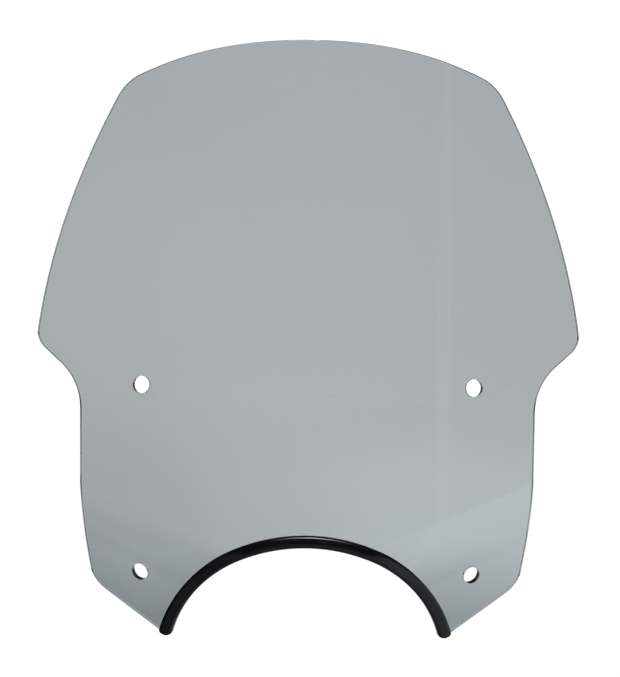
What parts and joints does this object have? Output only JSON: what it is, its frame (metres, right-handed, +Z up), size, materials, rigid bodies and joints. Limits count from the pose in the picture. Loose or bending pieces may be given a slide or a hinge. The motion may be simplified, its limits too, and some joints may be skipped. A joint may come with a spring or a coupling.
{
  "type": "motorcycle windshield screen",
  "caption": "Smoke-tinted acrylic motorcycle windshield screen, curved, with swept-back lower legs, fixing holes and a rubber-trimmed headlight cut-out.",
  "frame": {"origin": "on the outer face, on the centre line, midway in height between the upper and lower fixing holes", "axes": "+Z up as fitted, -Y out of the convex outer face towards the oncoming wind, +Y towards the rider, +X to the right seen from the front"},
  "size_m": [0.4446, 0.071, 0.4823],
  "materials": {
    "smoke_acrylic": "polished clear sheet with a smoke-grey tint, glossy on both faces",
    "black_rubber": "black extruded rubber with a satin skin"
  },
  "bodies": {
    "root": {"screen_panel": "smoke_acrylic", "headlight_cutout_trim": "black_rubber"}
  },
  "joints": []
}
